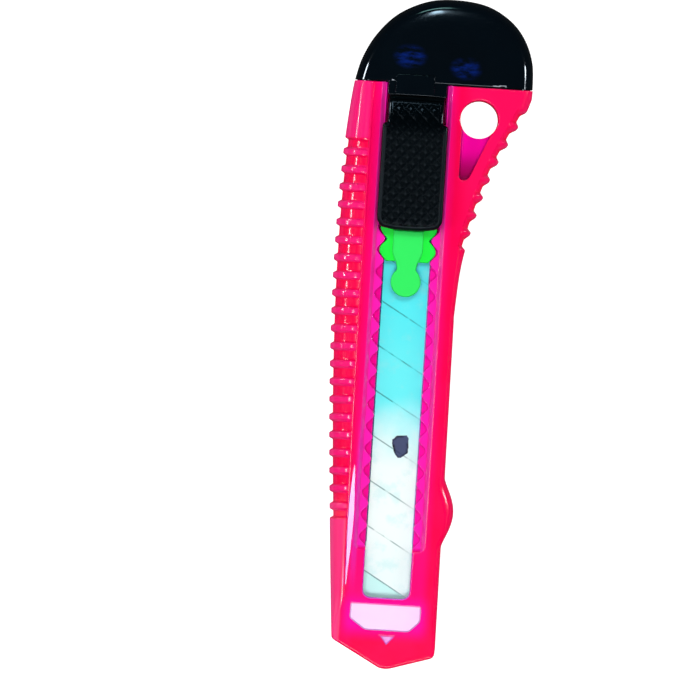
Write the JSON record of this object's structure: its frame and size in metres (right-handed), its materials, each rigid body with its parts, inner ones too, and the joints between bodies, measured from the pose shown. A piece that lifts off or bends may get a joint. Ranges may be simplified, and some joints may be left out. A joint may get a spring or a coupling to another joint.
{
  "type": "snap-off utility knife",
  "caption": "Snap-off utility knife: ribbed red plastic handle, black domed end cap, knurled black slider, green blade lock and a scored 18 mm steel blade that slides out of the nose",
  "frame": {"origin": "middle of the knife's footprint, on the flat back that it lies on", "axes": "+Y runs along the knife from the nose to the end cap, +X points to the belly side with the finger stop and the lanyard hole, +Z points out of the face that carries the slider"},
  "size_m": [0.0448, 0.1602, 0.0151],
  "materials": {
    "handle_plastic": "glossy fluorescent pink-red moulding",
    "cap_plastic": "polished black",
    "slider_plastic": "satin black, knurled",
    "lock_plastic": "satin bright green",
    "blade_steel": "fine ground steel, lightly oiled"
  },
  "bodies": {
    "handle": {"handle": "handle_plastic"},
    "end_cap": {"end_cap": "cap_plastic"},
    "slider": {"slider_button": "slider_plastic", "blade_lock": "lock_plastic", "blade": "blade_steel"}
  },
  "joints": [
    {"name": "blade_slide", "type": "slide", "parent": "handle", "child": "slider", "axis": [0, -1, 0], "range_m": [0, 0.06851], "deforming": ["blade_lock"]},
    {"name": "cap_pull", "type": "slide", "parent": "handle", "child": "end_cap", "axis": [0, 1, 0], "range_m": [0, 0.02]}
  ]
}
